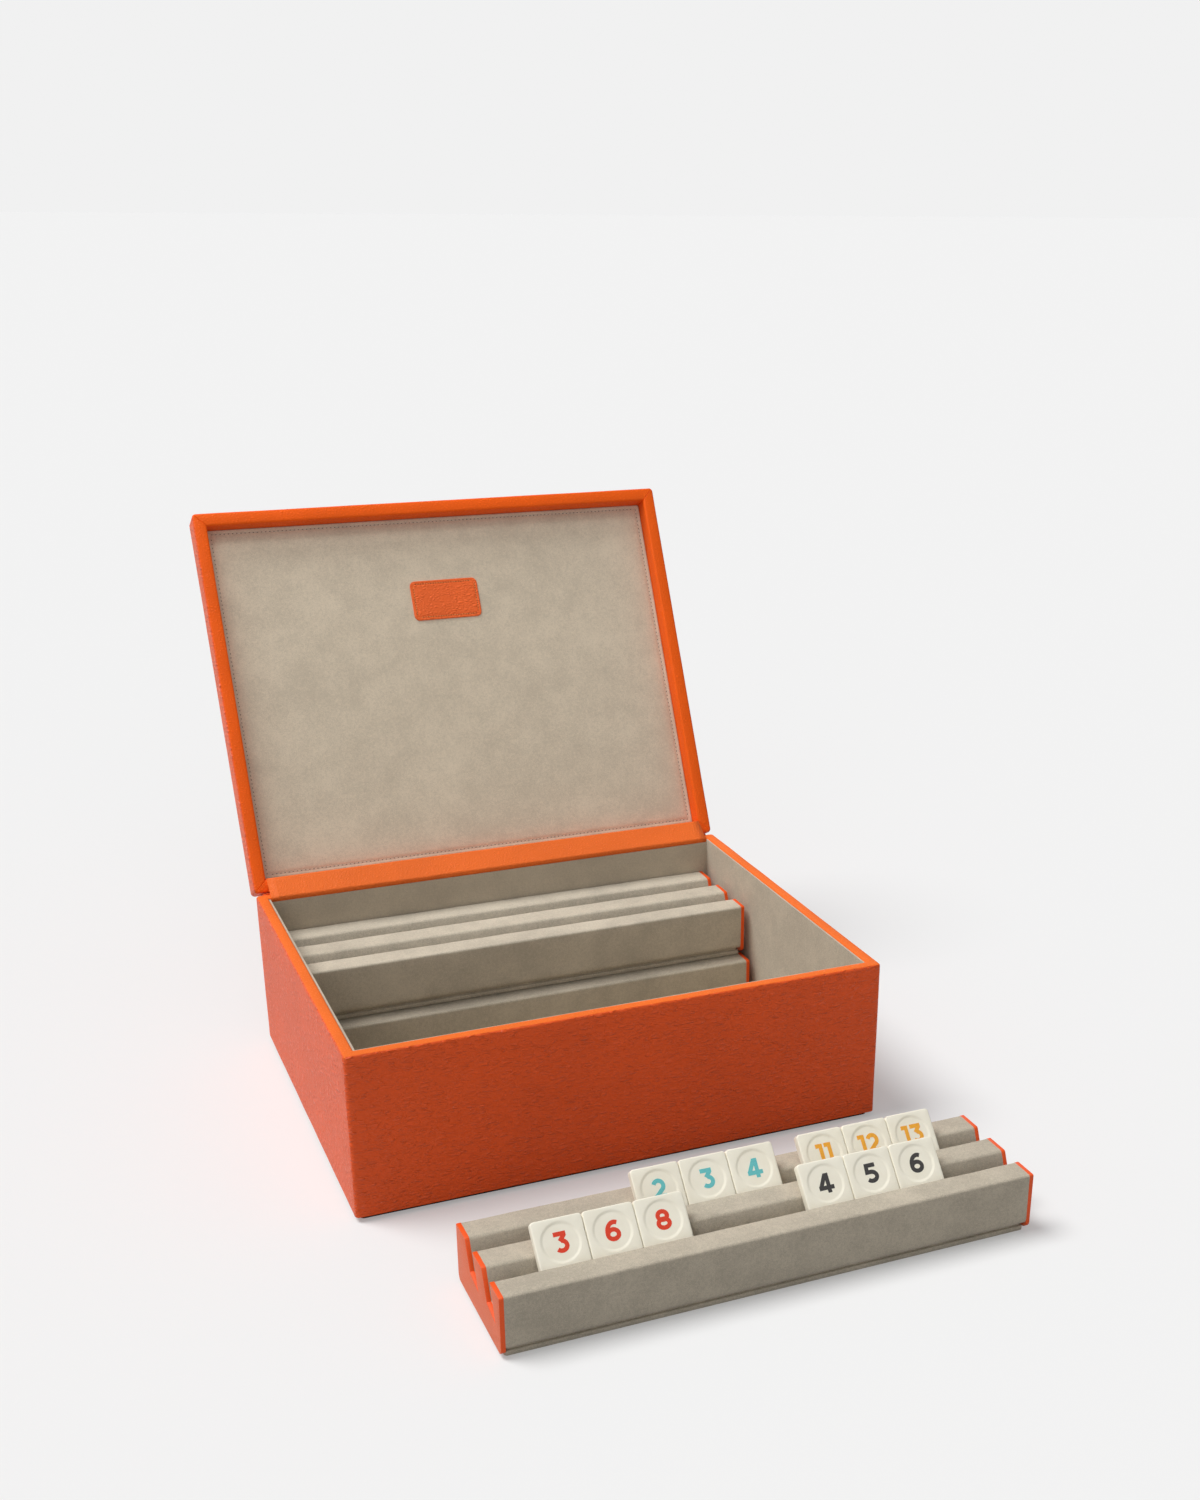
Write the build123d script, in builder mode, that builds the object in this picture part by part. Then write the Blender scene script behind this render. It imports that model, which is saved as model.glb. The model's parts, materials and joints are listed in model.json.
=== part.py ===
"""Rummy tile case: a leather-covered case with a hinged lid, three tile racks and twelve tiles.

Frame: millimetres, +Z up, +Y towards the hinge, origin on the floor below the centre of the case.
The lid stands open, held by the taut leather strip inside its hinge. Two racks lie stacked in the
case, and one stands in front of it with its tiles.
"""

import os
from math import cos, radians, sin, tan

from build123d import *

# ------------------------------------------------------------------ driving dimensions
clearance = 0.3  # gap between pieces that move apart

# case
case_width = 320.0
case_depth = 249.0
case_height = 98.0  # leather body, above the base panel
wall_board = 5.0  # board behind the leather that is turned in over the rim
leather = 1.0
turn_in = 15.0  # how far the leather reaches down inside the rim
leather_corner = 2.5  # radius of the upright corners
leather_edge = 0.8  # bevel of the rim's edges
strip_bend = 0.8  # radius of the hinge strip's bends
base_panel_thickness = 3.0
base_panel_inset = 3.5
base_panel_corner = 2.0
bottom_board = 2.0
liner = 1.1  # suede on card, on the walls and the floor
liner_drop = 0.8  # from the rim down to the top of the front and side liners
back_liner_drop = 2.7  # the hinge strip covers the wall above the back liner

# lid
lid_opening = 116.4  # degrees from closed to open
lid_thickness = 20.0
lid_board = 5.5
lid_rail_width = 8.3
lid_recess = 10.9  # from the lid's rim to its lining
lid_gap = 0.5  # between the closed lid's rim and the case's rim
lining_corner = 1.5
lining_edge = 0.6
patch_width = 47.0
patch_height = 27.0
patch_thickness = 1.2
patch_corner = 4.0
patch_place = 183.5  # from the lid's hinge edge to the patch's centre

# leather hinge
spine = 1.0  # thickness of the outer leather, which is the hinge
spine_end_inset = 5.0
spine_on_case = 26.0
spine_on_lid = 15.0
spine_gap = 0.15  # from each leaf to the hinge line
strip = 0.8  # thickness of the inner leather strip
strip_slack = 0.1  # between the strip and the lid

# racks
rack_left_gap = 0.6  # from the left liner to the stacked racks
rack_right_gap = 3.7  # from the stacked racks to the right liner, room for a finger nail
rack_back_gap = 0.4  # from the upper rack to the back liner
rack_height = 35.4
tooth = 15.8  # width of a rail's flat top
slot = 12.8  # width of a slot between two tops
slot_lean = 24.0  # degrees from upright, leaning back
end_slot_depth_back = 15.7  # in the end plates, where a slot's floor falls towards the front
end_slot_depth_front = 18.6
end_plate = 2.5
end_plate_edge = 1.5  # bevel along the outer lower edge of an end plate
comb_corner = 1.5  # radius along the lower edges of the bed and the end plates
foot_height = 4.6
foot_inset = 2.3
foot_plate = 2.8  # the foot's lower part; a groove runs round above it
foot_groove = 1.6
rail_edge = 0.7
upper_rack_setback = 10.0  # from the lower rack's front face to the upper rack's
free_rack_middle = 25.6  # to the right of the case's centre
free_rack_distance = 75.6  # from the case's front to the free rack's back

# tiles
tile_width = 27.0
tile_height = 36.0
tile_thickness = 5.0
tile_gap = 0.3  # between two tiles in a row
tile_lean = 42.2  # degrees from upright
tile_corner = 1.6
tile_edge = 0.5
dish_radius = 10.6
dish_depth = 0.5
dish_from_top = 12.6  # from the tile's top to the dish's centre
tile_runs = [
    # colour, numbers, slot counted from the back, start of the run from the rack's middle
    ("red", (3, 6, 8), 1, -122.5),
    ("black", (4, 5, 6), 1, 24.2),
    ("blue", (2, 3, 4), 0, -58.5),
    ("orange", (11, 12, 13), 0, 38.1),
]

# ------------------------------------------------------------------ worked-out sizes
rim = wall_board + 2 * leather
rim_height = base_panel_thickness + case_height
board_bottom = base_panel_thickness + leather
turn_in_bottom = rim_height - turn_in
bottom_board_top = base_panel_thickness + bottom_board
floor_height = bottom_board_top + liner
half_width = case_width / 2
half_depth = case_depth / 2
bay_half_width = half_width - rim
bay_half_depth = half_depth - rim
strip_half_length = half_width - lid_rail_width - clearance
rack_length = 2 * (bay_half_width - liner) - rack_left_gap - rack_right_gap
rack_depth = 3 * tooth + 2 * slot
tooth_pitch = tooth + slot
lean = radians(slot_lean)

# The hinge line runs along the outside of the spine, level with the case's rim.
hinge_y = half_depth + spine
hinge_z = rim_height
opening = radians(lid_opening)
up_the_lid = (0, -cos(opening), sin(opening))
out_of_the_lid = (0, sin(opening), cos(opening))

outwards = Axis(origin=(0, 0, 0), direction=out_of_the_lid)

SIDES = ("front", "right", "back", "left")

os.makedirs("parts", exist_ok=True)


def save(piece, name):
    """Label a finished piece and write its STEP file."""
    piece.label = name
    export_step(piece, f"parts/{name}.step")


def mitred_side(half_x, half_y, thickness, side):
    """Four corners of one side of a rectangular frame, its ends cut at 45 degrees."""
    outer = [(-half_x, -half_y), (half_x, -half_y), (half_x, half_y), (-half_x, half_y)]
    near_x, near_y = half_x - thickness, half_y - thickness
    inner = [(-near_x, -near_y), (near_x, -near_y), (near_x, near_y), (-near_x, near_y)]
    after = (side + 1) % 4
    return [outer[side], outer[after], inner[after], inner[side]]


def lid_point(up, out):
    """A point (y, z) of the open lid, from its hinge edge up the lid and from its rim outwards."""
    up += spine
    out += lid_gap
    y = hinge_y + up * up_the_lid[1] + out * out_of_the_lid[1]
    z = hinge_z + up * up_the_lid[2] + out * out_of_the_lid[2]
    return y, z


def lid_plane(out=0.0):
    """Plane parallel to the open lid's rim, its x to the left, its y up the lid."""
    y, z = lid_point(half_depth, out)
    return Plane(origin=(0, y, z), x_dir=(-1, 0, 0), z_dir=out_of_the_lid)


# ------------------------------------------------------------------ case
with BuildPart() as base_panel:
    with BuildSketch():
        RectangleRounded(
            case_width - 2 * base_panel_inset,
            case_depth - 2 * base_panel_inset,
            base_panel_corner,
        )
    extrude(amount=base_panel_thickness)
save(base_panel.part, "base_panel")

with BuildPart() as bottom:
    with BuildSketch(Plane.XY.offset(base_panel_thickness)):
        Rectangle(2 * bay_half_width, 2 * bay_half_depth)
    extrude(amount=bottom_board)
save(bottom.part, "bottom_board")

with BuildPart() as floor_lining:
    with BuildSketch(Plane.XY.offset(bottom_board_top)):
        Rectangle(2 * bay_half_width, 2 * bay_half_depth)
    extrude(amount=liner)
save(floor_lining.part, "floor_lining")

for number, side in enumerate(SIDES):
    board_half_x = half_width - leather
    board_half_y = half_depth - leather
    with BuildPart() as wall:
        with BuildSketch(Plane.XY.offset(board_bottom)):
            with BuildLine():
                Polyline(
                    *mitred_side(board_half_x, board_half_y, wall_board + leather, number),
                    close=True,
                )
            make_face()
        extrude(amount=turn_in_bottom - board_bottom)
        with BuildSketch(Plane.XY.offset(turn_in_bottom)):
            with BuildLine():
                Polyline(
                    *mitred_side(board_half_x, board_half_y, wall_board, number),
                    close=True,
                )
            make_face()
        extrude(amount=turn_in - leather)
    save(wall.part, f"{side}_wall_board")

for number, side in enumerate(SIDES):
    drop = back_liner_drop if side == "back" else liner_drop
    with BuildPart() as wall_liner:
        with BuildSketch(Plane.XY.offset(floor_height)):
            with BuildLine():
                Polyline(
                    *mitred_side(bay_half_width, bay_half_depth, liner, number), close=True
                )
            make_face()
        extrude(amount=rim_height - drop - floor_height)
    save(wall_liner.part, f"{side}_liner")

# The leather goes round the outside, over the rim and down inside it, and under the walls.
with BuildPart() as case_leather:
    with BuildSketch(Plane.XY.offset(base_panel_thickness)):
        RectangleRounded(case_width, case_depth, leather_corner)
        Rectangle(2 * bay_half_width, 2 * bay_half_depth, mode=Mode.SUBTRACT)
    extrude(amount=case_height)
    top_face = case_leather.faces().sort_by(Axis.Z)[-1]
    chamfer(top_face.edges(), leather_edge)
    with BuildSketch(Plane.XY.offset(board_bottom)):
        Rectangle(case_width - 2 * leather, case_depth - 2 * leather)
        Rectangle(2 * bay_half_width, 2 * bay_half_depth, mode=Mode.SUBTRACT)
    extrude(amount=turn_in_bottom - board_bottom, mode=Mode.SUBTRACT)
    with BuildSketch(Plane.XY.offset(turn_in_bottom)):
        Rectangle(case_width - 2 * leather, case_depth - 2 * leather)
        Rectangle(
            2 * (bay_half_width + leather), 2 * (bay_half_depth + leather), mode=Mode.SUBTRACT
        )
    extrude(amount=turn_in - leather, mode=Mode.SUBTRACT)
save(case_leather.part, "case_leather")

# ------------------------------------------------------------------ leather hinge
with BuildPart() as spine_case_leaf:
    with BuildSketch(Plane.XZ.offset(-half_depth)):
        with Locations((0, rim_height - spine_gap)):
            Rectangle(
                case_width - 2 * spine_end_inset,
                spine_on_case - spine_gap,
                align=(Align.CENTER, Align.MAX),
            )
    extrude(amount=-spine)
save(spine_case_leaf.part, "spine_case_leaf")

spine_lid_start = spine_gap - lid_gap
with BuildPart() as spine_lid_leaf:
    with BuildSketch(lid_plane(spine_lid_start)):
        with Locations((0, -half_depth)):
            Rectangle(
                case_width - 2 * spine_end_inset, spine, align=(Align.CENTER, Align.MAX)
            )
    extrude(amount=spine_on_lid - spine_lid_start)
save(spine_lid_leaf.part, "spine_lid_leaf")

# The inner strip leaves the back wall at the rim's inner edge, goes straight to the inner edge of
# the lid's back rail, and turns down that rail to the lining.
strip_path = [
    (bay_half_depth, rim_height - back_liner_drop),
    (bay_half_depth, rim_height),
    lid_point(lid_rail_width + strip_slack, -strip_slack),
    lid_point(lid_rail_width + strip_slack, lid_recess - strip_slack),
]
with BuildPart() as hinge_strip:
    with BuildSketch(Plane.YZ):
        with BuildLine():
            FilletPolyline(*strip_path, radius=strip_bend)
            offset(amount=strip, side=Side.LEFT)
        make_face()
    extrude(amount=strip_half_length, both=True)
save(hinge_strip.part, "hinge_strip")

# ------------------------------------------------------------------ lid
lid_board_start = lid_thickness - leather - lid_board

with BuildPart() as lid_top:
    with BuildSketch(lid_plane(lid_board_start)):
        Rectangle(case_width - 2 * leather, case_depth - 2 * leather)
    extrude(amount=lid_board)
save(lid_top.part, "lid_board")

for number in range(len(SIDES)):
    with BuildPart() as lid_rail:
        with BuildSketch(lid_plane(leather)):
            with BuildLine():
                Polyline(
                    *mitred_side(
                        half_width - leather,
                        half_depth - leather,
                        lid_rail_width - 2 * leather,
                        number,
                    ),
                    close=True,
                )
            make_face()
        extrude(amount=lid_board_start - leather)
    # The closed lid is turned half round against the case, so its first side is at the hinge.
    save(lid_rail.part, f"lid_{SIDES[(number + 2) % 4]}_rail")

recess_half_width = half_width - lid_rail_width
recess_half_depth = half_depth - lid_rail_width
with BuildPart() as lid_leather:
    with BuildSketch(lid_plane()):
        RectangleRounded(case_width, case_depth, leather_corner)
    extrude(amount=lid_thickness)
    chamfer(lid_leather.faces().sort_by(outwards)[-1].edges(), leather_edge)
    with BuildSketch(lid_plane()):
        Rectangle(2 * recess_half_width, 2 * recess_half_depth)
    extrude(amount=lid_board_start, mode=Mode.SUBTRACT)
    chamfer(lid_leather.faces().sort_by(outwards)[0].edges(), leather_edge)
    with BuildSketch(lid_plane(leather)):
        Rectangle(case_width - 2 * leather, case_depth - 2 * leather)
        Rectangle(
            2 * (recess_half_width + leather),
            2 * (recess_half_depth + leather),
            mode=Mode.SUBTRACT,
        )
    extrude(amount=lid_board_start - leather, mode=Mode.SUBTRACT)
    with BuildSketch(lid_plane(lid_board_start)):
        Rectangle(case_width - 2 * leather, case_depth - 2 * leather)
    extrude(amount=lid_board, mode=Mode.SUBTRACT)
save(lid_leather.part, "lid_leather")

lining_start = lid_rail_width + 2 * strip_slack + strip
lining_end = case_depth - lid_rail_width
with BuildPart() as lid_lining:
    with BuildSketch(lid_plane(lid_recess)):
        with Locations((0, (lining_start + lining_end) / 2 - half_depth)):
            RectangleRounded(2 * recess_half_width, lining_end - lining_start, lining_corner)
    extrude(amount=lid_board_start - lid_recess)
    chamfer(lid_lining.faces().sort_by(outwards)[0].edges(), lining_edge)
save(lid_lining.part, "lid_lining")

with BuildPart() as patch:
    with BuildSketch(lid_plane(lid_recess - patch_thickness)):
        with Locations((0, patch_place - half_depth)):
            RectangleRounded(patch_width, patch_height, patch_corner)
    extrude(amount=patch_thickness)
save(patch.part, "lid_patch")

# ------------------------------------------------------------------ racks
# Sizes across a rack run from its back face forwards (v), and up from the surface it stands on.
# A tile leans on the top edge of the rail behind it, with its lower front edge against the slot's
# front wall and its lower back edge on the slot's floor.
tile_angle = radians(tile_lean)
tile_front = clearance + tile_thickness  # from the edge it leans on to its front face
room = slot - clearance / cos(lean) - tile_front * (cos(tile_angle) + sin(tile_angle) * tan(lean))
hidden_height = room / (sin(tile_angle) - cos(tile_angle) * tan(lean))
slot_floor = rack_height - hidden_height * cos(tile_angle) - clearance


def rail_outline(number):
    """Cross-section of a rail: 0 at the back, 1 in the middle, 2 at the front."""
    near = number * tooth_pitch
    far = near + tooth
    shift = (rack_height - slot_floor) * tan(lean)
    back_foot = near if number == 0 else near + shift
    front_foot = far if number == 2 else far + shift
    return [(back_foot, slot_floor), (near, rack_height), (far, rack_height), (front_foot, slot_floor)]


def comb_outline():
    """Cross-section of a whole rack above its foot, slots open, as its end plates have it."""
    points = [(0, foot_height), (0, rack_height)]
    for number in (0, 1):
        near = number * tooth_pitch + tooth
        far = near + slot
        points.append((near, rack_height))
        for edge, depth in ((near, end_slot_depth_back), (far, end_slot_depth_front)):
            points.append((edge + depth * tan(lean), rack_height - depth))
        points.append((far, rack_height))
    return points + [(rack_depth, rack_height), (rack_depth, foot_height)]


def prism(outline, plane, length):
    """A straight bar with the given cross-section."""
    with BuildPart() as bar:
        with BuildSketch(plane):
            with BuildLine():
                Polyline(*outline, close=True)
            make_face()
        extrude(amount=length)
    return bar.part


def make_rack(name, right_end, back_face, base):
    """Write the seven pieces of one rack."""

    def across(x):
        return Plane(origin=(x, back_face, base), x_dir=(0, -1, 0), z_dir=(-1, 0, 0))

    inside = across(right_end - end_plate)
    core_length = rack_length - 2 * end_plate
    with BuildPart() as bed:
        outline = [
            (0, foot_height),
            (rack_depth, foot_height),
            (rack_depth, slot_floor),
            (0, slot_floor),
        ]
        add(prism(outline, inside, core_length))
        fillet(bed.edges().filter_by(Axis.X).group_by(Axis.Z)[0], comb_corner)
    save(bed.part, f"{name}_bed")

    for number, place in enumerate(("back", "middle", "front")):
        with BuildPart() as rail:
            add(prism(rail_outline(number), inside, core_length))
            top_edges = rail.faces().sort_by(Axis.Z)[-1].edges().filter_by(Axis.X)
            fillet(top_edges, rail_edge)
        save(rail.part, f"{name}_{place}_rail")

    for side, x in (("right", right_end), ("left", right_end - rack_length + end_plate)):
        with BuildPart() as plate:
            add(prism(comb_outline(), across(x), end_plate))
            fillet(plate.edges().filter_by(Axis.X).group_by(Axis.Z)[0], comb_corner)
            lowest_edges = plate.edges().filter_by(Axis.Y).group_by(Axis.Z)[0]
            outer_edge = lowest_edges.sort_by(Axis.X)[-1 if side == "right" else 0]
            chamfer(outer_edge, end_plate_edge)
        save(plate.part, f"{name}_{side}_end")

    middle = (right_end - rack_length / 2, back_face - rack_depth / 2)
    neck_inset = foot_inset + foot_groove
    with BuildPart() as foot:
        with BuildSketch(Plane.XY.offset(base)):
            with Locations(middle):
                Rectangle(rack_length - 2 * foot_inset, rack_depth - 2 * foot_inset)
        extrude(amount=foot_plate)
        with BuildSketch(Plane.XY.offset(base + foot_plate)):
            with Locations(middle):
                Rectangle(rack_length - 2 * neck_inset, rack_depth - 2 * neck_inset)
        extrude(amount=foot_height - foot_plate)
    save(foot.part, f"{name}_foot")


stack_right_end = -bay_half_width + liner + rack_left_gap + rack_length
upper_rack_back = bay_half_depth - liner - rack_back_gap
lower_rack_base = floor_height + clearance
upper_rack_base = lower_rack_base + rack_height + clearance
make_rack("lower_rack", stack_right_end, upper_rack_back - upper_rack_setback, lower_rack_base)
make_rack("upper_rack", stack_right_end, upper_rack_back, upper_rack_base)

free_rack_back = -half_depth - free_rack_distance
make_rack("free_rack", free_rack_middle + rack_length / 2, free_rack_back, 0)

# ------------------------------------------------------------------ tiles
out_of_the_tile = (0, -cos(tile_angle), sin(tile_angle))
for colour, numbers, slot_number, start in tile_runs:
    leaning_edge_v = slot_number * tooth_pitch + tooth
    for place, value in enumerate(numbers):
        left = free_rack_middle + start + place * (tile_width + tile_gap)
        touching = Plane(
            origin=(left, free_rack_back - leaning_edge_v, rack_height),
            x_dir=(1, 0, 0),
            z_dir=out_of_the_tile,
        )
        tile_middle = (tile_width / 2, tile_height / 2 - hidden_height)
        dish_middle = (tile_width / 2, tile_height - hidden_height - dish_from_top)
        with BuildPart() as tile:
            with BuildSketch(touching.offset(clearance)):
                with Locations(tile_middle):
                    RectangleRounded(tile_width, tile_height, tile_corner)
            extrude(amount=tile_thickness)
            front_face = tile.faces().sort_by(Axis((0, 0, 0), out_of_the_tile))[-1]
            chamfer(front_face.edges(), tile_edge)
            with BuildSketch(touching.offset(tile_front)):
                with Locations(dish_middle):
                    Circle(dish_radius)
            extrude(amount=-dish_depth, mode=Mode.SUBTRACT)
        save(tile.part, f"tile_{colour}_{value}")
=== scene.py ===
"""The rummy tile case: grained leather, suede, stitches, ivory tiles with their numbers, and the light.

Lengths are in metres, and MM turns millimetres into them. The lid's pieces are made flat, in the
lid's own axes, and each tile's in the tile's, and then set in place by a matrix. Both matrices come
from the frame's joints, and most sizes from the frame's boxes.
"""

import json
from math import cos, pi, radians, sin, tan

import bmesh
import bpy
from mathutils import Matrix, Vector, noise

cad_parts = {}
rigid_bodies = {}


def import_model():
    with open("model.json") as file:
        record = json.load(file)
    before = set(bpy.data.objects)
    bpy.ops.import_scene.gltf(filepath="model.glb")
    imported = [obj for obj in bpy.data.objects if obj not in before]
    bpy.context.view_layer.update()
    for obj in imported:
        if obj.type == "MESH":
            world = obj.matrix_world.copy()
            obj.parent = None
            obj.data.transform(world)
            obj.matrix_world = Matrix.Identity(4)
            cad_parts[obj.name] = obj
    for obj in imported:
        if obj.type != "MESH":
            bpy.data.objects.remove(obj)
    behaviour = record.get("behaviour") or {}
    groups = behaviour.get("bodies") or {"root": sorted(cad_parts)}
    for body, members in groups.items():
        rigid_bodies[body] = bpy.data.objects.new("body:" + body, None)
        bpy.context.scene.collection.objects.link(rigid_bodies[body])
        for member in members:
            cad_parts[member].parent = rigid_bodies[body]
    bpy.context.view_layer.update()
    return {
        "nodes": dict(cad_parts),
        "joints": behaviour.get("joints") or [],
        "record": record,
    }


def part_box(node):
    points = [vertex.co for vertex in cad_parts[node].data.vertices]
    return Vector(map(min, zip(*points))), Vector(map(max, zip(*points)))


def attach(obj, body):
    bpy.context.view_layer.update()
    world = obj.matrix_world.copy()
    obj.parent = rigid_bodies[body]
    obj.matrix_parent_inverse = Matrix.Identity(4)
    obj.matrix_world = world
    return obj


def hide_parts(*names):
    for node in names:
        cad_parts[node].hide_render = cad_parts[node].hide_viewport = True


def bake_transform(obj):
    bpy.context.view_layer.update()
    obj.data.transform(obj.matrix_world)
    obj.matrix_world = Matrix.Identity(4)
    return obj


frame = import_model()

MM = 0.001

# ------------------------------------------------------------------ sizes
RIM_WIDTH = 7.0 * MM
TURN_IN = 15.0 * MM
LEATHER = 1.0 * MM
CORNER_RADIUS = 2.5 * MM
EDGE_RADIUS = 1.3 * MM
COVER_SLICE = 8.0 * MM
COVER_WAVE = 26.0 * MM
COVER_BORDER = 0.6 * MM  # how far round the rim's edges the outer leather reaches

LID_RIM_WIDTH = 8.3 * MM
LID_BACK_EDGE = 1.2 * MM
MITRE_WIDTH = 0.7 * MM
MITRE_DEPTH = 0.3 * MM

STRIP_THICKNESS = 0.7 * MM
STRIP_GAP = 0.05 * MM  # between the strip and the leather that it lies on
STRIP_BENDS = (0.9 * MM, 1.2 * MM)
STRIP_OVER_RIM = 0.25 * MM
STRIP_OVER_LID_RIM = 0.5 * MM
STRIP_INTO_LINING = 0.2 * MM
SPINE_THICKNESS = 0.7 * MM
SPINE_FOLD = 0.15 * MM  # from the hinge line to the fold on each side of it
SPINE_REACH_ON_LID = 15.0 * MM

LINING_CORNER = 1.5 * MM
LINING_EDGE = 0.9 * MM
PATCH_CORNER = 3.6 * MM
PATCH_EDGE = 0.6 * MM
SEAM_INSET = 3.0 * MM
SEAM_CORNER = 0.8 * MM
SEAM_PITCH = 2.7 * MM
SEAM_STITCH = (1.9 * MM, 0.5 * MM, 0.12 * MM)  # length, width, and how far it is drawn in
PATCH_SEAM_INSET = 2.1 * MM
PATCH_SEAM_CORNER = 2.0 * MM
PATCH_SEAM_PITCH = 1.75 * MM
PATCH_SEAM_STITCH = (1.15 * MM, 0.45 * MM, 0.0)

TOOTH = 15.8 * MM
SLOT = 12.8 * MM
END_SLOT_DEPTH_BACK = 15.7 * MM
END_SLOT_DEPTH_FRONT = 18.6 * MM
SLOT_LEAN = tan(radians(24.0))
SUEDE_EDGE = 1.5 * MM
FOOT_PLATE = 2.8 * MM
FOOT_GROOVE = 1.6 * MM
FOOT_CORNER = 2.0 * MM
FOOT_EDGE = 0.6 * MM
END_CORNER = 3.6 * MM
END_APRON = 2.4 * MM  # the end plates' leather hangs this far down past the bed
END_TIP = 1.0 * MM
END_LOWER_EDGE = 2.2 * MM
END_EDGE = 0.4 * MM

TILE_CORNER = 1.9 * MM
TILE_EDGE = 0.7 * MM
DISH_RADIUS = 10.9 * MM
DISH_SLOPE = 1.9 * MM
DISH_DEPTH = 0.45 * MM
DISH_FROM_TOP = 12.6 * MM
NUMBER_HEIGHT = 10.6 * MM
NUMBER_STROKE = 0.215  # share of the number's height
NUMBER_GAP = 0.06  # between two digits, as a share of the height
PAINT = 0.06 * MM
PAINT_ROOT = 0.3 * MM  # how far a number reaches into the tile


# ------------------------------------------------------------------ materials
class Value:
    """One output of a material's nodes. Arithmetic on values adds the Math nodes that work it out."""

    def __init__(self, finish, socket):
        self.finish = finish
        self.socket = socket

    def math(self, operation, first, second):
        return self.finish.node("ShaderNodeMath", {0: first, 1: second}, operation=operation)

    def __add__(self, other):
        return self.math("ADD", self, other)

    def __sub__(self, other):
        return self.math("SUBTRACT", self, other)

    def __mul__(self, other):
        return self.math("MULTIPLY", self, other)


class Finish:
    """A material, or the sky, under construction."""

    def __init__(self, name, shader=None, sky=None):
        self.material = sky or bpy.data.materials.new(name)
        self.material.use_nodes = True
        self.tree = self.material.node_tree
        self.tree.nodes.clear()
        output = self.tree.nodes.new("ShaderNodeOutputWorld" if sky else "ShaderNodeOutputMaterial")
        self.surface = output.inputs["Surface"]
        if shader:
            self.shader = self.tree.nodes.new("ShaderNodeBsdfPrincipled")
            self.tree.links.new(self.shader.outputs[0], self.surface)
            for socket, value in shader.items():
                self.shader.inputs[socket].default_value = value

    def node(self, kind, sockets, out=0, **settings):
        """Add a node with these settings and input sockets, and return one of its outputs."""
        node = self.tree.nodes.new(kind)
        for name, value in settings.items():
            setattr(node, name, value)
        for name, value in sockets.items():
            self.feed(node.inputs[name], value)
        return Value(self, node.outputs[out])

    def feed(self, socket, value):
        """Link a value to a socket, or set the socket to a number, vector or colour."""
        if isinstance(value, Value):
            self.tree.links.new(value.socket, socket)
        elif socket.type == "RGBA" and len(value) == 3:
            socket.default_value = (*value, 1.0)
        else:
            socket.default_value = value

    def place(self, stretch=(1.0, 1.0, 1.0)):
        """Object coordinates, stretched along each axis by these factors."""
        spot = self.node("ShaderNodeTexCoord", {}, out="Object")
        shrink = tuple(1 / factor for factor in stretch)
        return self.node("ShaderNodeVectorMath", {0: spot, 1: shrink}, operation="MULTIPLY")

    def noise(self, place, size, detail=2.0, out="Fac", roughness=0.5):
        sockets = {"Vector": place, "Scale": 1 / size, "Detail": detail, "Roughness": roughness}
        return self.node("ShaderNodeTexNoise", sockets, out=out)

    def wander(self, place, size, reach):
        """The place pushed about by a soft noise, at most by reach."""
        push = self.noise(place, size, out="Color")
        middle = (0.5, 0.5, 0.5)
        centred = self.node("ShaderNodeVectorMath", {0: push, 1: middle}, operation="SUBTRACT")
        scaled = self.node("ShaderNodeVectorMath", {0: centred, "Scale": 2 * reach}, operation="SCALE")
        return self.node("ShaderNodeVectorMath", {0: place, 1: scaled}, operation="ADD")

    def pebbles(self, place, size, valley=0.3):
        """Height from 0 in the creases to 1 on top of rounded cells."""
        edge = self.node(
            "ShaderNodeTexVoronoi",
            {"Vector": place, "Scale": 1 / size, "Randomness": 0.95},
            out="Distance",
            feature="DISTANCE_TO_EDGE",
        )
        return self.span(edge, 0.0, valley)

    def span(self, value, low, high, start=0.0, end=1.0):
        """The value from low to high made to run smoothly from start to end."""
        return self.node(
            "ShaderNodeMapRange",
            {"Value": value, "From Min": low, "From Max": high, "To Min": start, "To Max": end},
            interpolation_type="SMOOTHSTEP",
        )

    def mix(self, share, first, second):
        """A colour between two colours."""
        return self.node("ShaderNodeMix", {0: share, 6: first, 7: second}, out=2, data_type="RGBA")

    def colour(self, value):
        self.feed(self.shader.inputs["Base Color"], value)

    def roughness(self, value):
        self.feed(self.shader.inputs["Roughness"], value)

    def bump(self, height, depth):
        sockets = {"Height": height, "Distance": depth, "Strength": 1.0}
        self.feed(self.shader.inputs["Normal"], self.node("ShaderNodeBump", sockets, out="Normal"))


def darker(colour, share):
    return tuple(channel * (1 - share) for channel in colour)


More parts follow.
